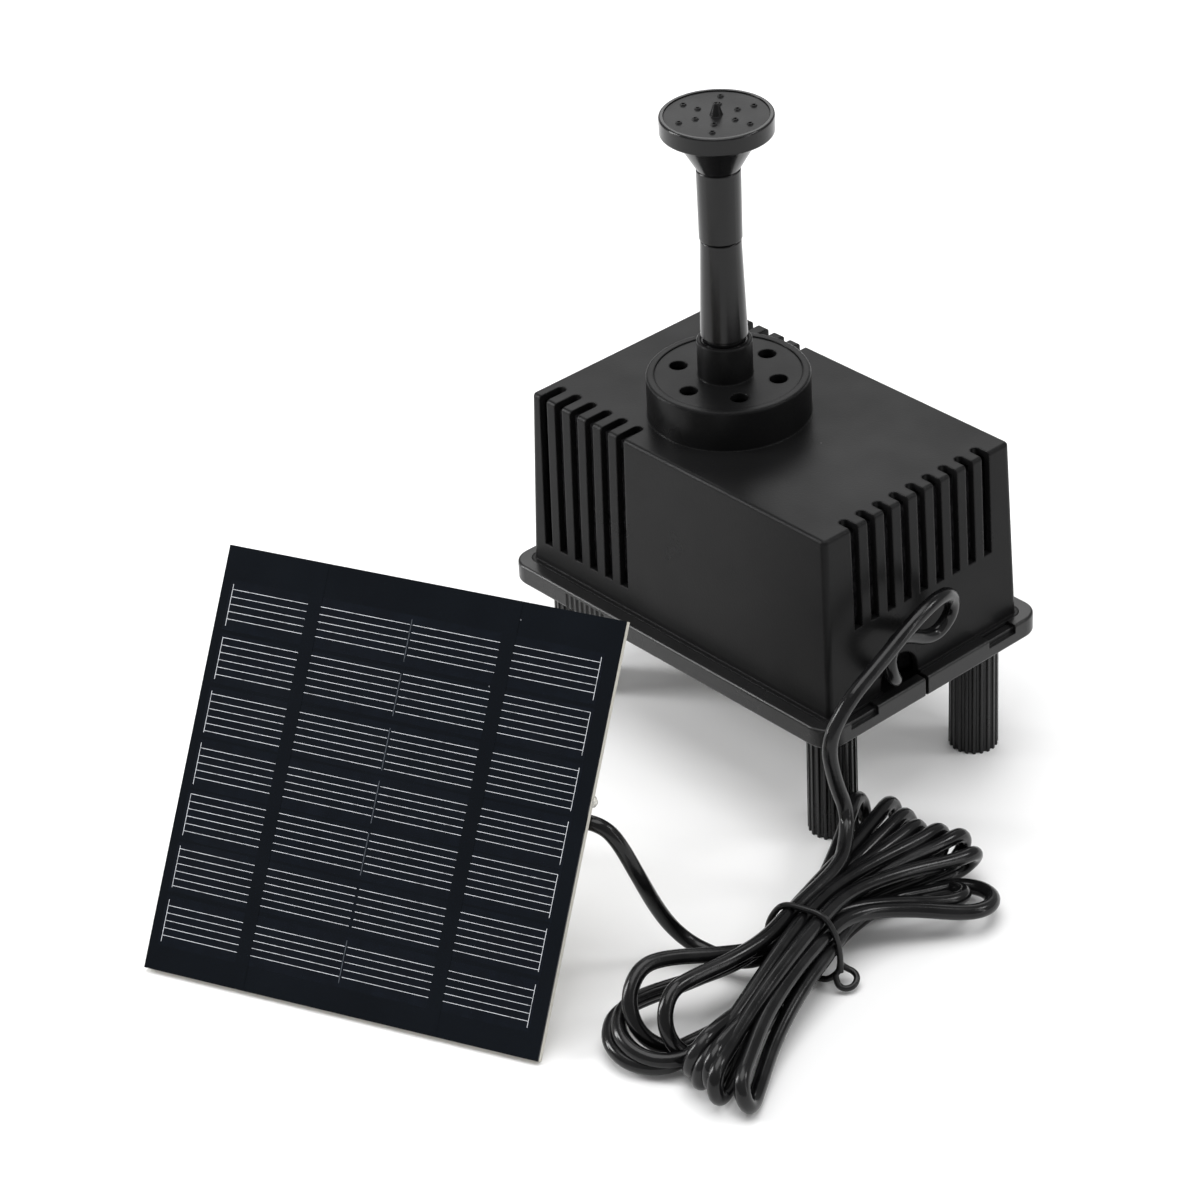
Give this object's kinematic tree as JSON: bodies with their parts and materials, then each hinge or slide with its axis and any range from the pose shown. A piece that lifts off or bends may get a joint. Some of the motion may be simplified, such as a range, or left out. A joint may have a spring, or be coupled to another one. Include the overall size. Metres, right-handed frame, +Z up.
{
  "type": "fountain submersible pump",
  "caption": "Filter-box submersible fountain pump on fluted feet with riser and spray head, cabled to a leaning square solar panel.",
  "frame": {"origin": "on the floor, in the middle of the footprint of the pump and the panel together, without the free cable and its hank", "axes": "+Z up, +Y from the solar panel towards the filter box, +X towards the end of the filter box where the cable comes out"},
  "size_m": [0.1936, 0.2448, 0.1919],
  "materials": {
    "box_plastic": "satin black injection-moulded plastic",
    "riser_plastic": "semi-gloss black moulded plastic",
    "filter_foam": "open-cell black filter foam",
    "pump_plastic": "black moulded pump housing",
    "impeller_plastic": "light grey moulded plastic",
    "magnet": "sintered ferrite",
    "core_steel": "laminated electrical steel",
    "coil_copper": "enamelled copper winding",
    "circuit_board": "green circuit board",
    "ceramic": "polished white ceramic",
    "soft_rubber": "soft black rubber",
    "panel_board": "pale fibre board",
    "panel_face": "glossy navy-black laminate with fine silver lines",
    "solar_cell": "dark blue-black silicon cell",
    "glue": "translucent hot glue",
    "prop_plastic": "black moulded plastic",
    "pin_steel": "plain steel",
    "cable_sheath": "semi-gloss black cable sheath",
    "tie_sheath": "black coated tie wire"
  },
  "bodies": {
    "root": {"base_tray": "box_plastic", "foot_front_left": "box_plastic", "foot_front_right": "box_plastic", "foot_back_left": "box_plastic", "foot_back_right": "box_plastic", "foam_left": "filter_foam", "foam_right": "filter_foam", "foam_front": "filter_foam", "foam_back": "filter_foam", "motor_housing": "pump_plastic", "motor_end_cap": "pump_plastic", "volute_cover": "pump_plastic", "intake_strainer": "pump_plastic", "stator_core": "core_steel", "stator_coil_1": "coil_copper", "stator_coil_2": "coil_copper", "stator_coil_3": "coil_copper", "stator_coil_4": "coil_copper", "driver_board": "circuit_board", "shaft": "ceramic", "bush_front": "soft_rubber", "bush_rear": "soft_rubber", "volute_seal": "soft_rubber", "outlet_adapter": "soft_rubber", "cable_gland": "soft_rubber", "suction_cup_1": "soft_rubber", "suction_cup_2": "soft_rubber", "suction_cup_3": "soft_rubber", "suction_cup_4": "soft_rubber", "panel_board": "panel_board", "panel_face": "panel_face", "cell_row_1": "solar_cell", "cell_row_2": "solar_cell", "cell_row_3": "solar_cell", "cell_row_4": "solar_cell", "cell_row_5": "solar_cell", "cell_row_6": "solar_cell", "cell_row_7": "solar_cell", "glue_bead": "glue", "junction_box": "prop_plastic", "prop_bracket": "prop_plastic", "prop_pin": "pin_steel", "cable_pump_run": "cable_sheath", "cable_hank": "cable_sheath", "cable_panel_run": "cable_sheath", "hank_tie": "tie_sheath"},
    "cover": {"housing_cover": "box_plastic", "flow_plate": "box_plastic"},
    "lower_riser": {"riser_lower": "riser_plastic"},
    "upper_riser": {"riser_upper": "riser_plastic"},
    "spray_head": {"spray_body": "riser_plastic", "spray_cap": "riser_plastic"},
    "rotor": {"rotor_magnet": "magnet", "impeller": "impeller_plastic"},
    "prop": {"prop_leg": "prop_plastic"}
  },
  "joints": [
    {"name": "cover_lift", "type": "slide", "parent": "root", "child": "cover", "axis": [0, 0, 1], "range_m": [0, 0.07]},
    {"name": "riser_lower_pull", "type": "slide", "parent": "cover", "child": "lower_riser", "axis": [0, 0, 1], "range_m": [0, 0.014]},
    {"name": "riser_upper_pull", "type": "slide", "parent": "lower_riser", "child": "upper_riser", "axis": [0, 0, 1], "range_m": [0, 0.012]},
    {"name": "spray_head_pull", "type": "slide", "parent": "upper_riser", "child": "spray_head", "axis": [0, 0, 1], "range_m": [0, 0.011]},
    {"name": "rotor_spin", "type": "hinge", "parent": "root", "child": "rotor", "pos_m": [-0.00597, 0.08358, 0.062], "axis": [1, 0, 0], "continuous": true},
    {"name": "prop_fold", "type": "hinge", "parent": "root", "child": "prop", "pos_m": [-0.00926, -0.04476, 0.06477], "axis": [-0.91, -0.4147, 0], "range_deg": [0, 56]}
  ]
}
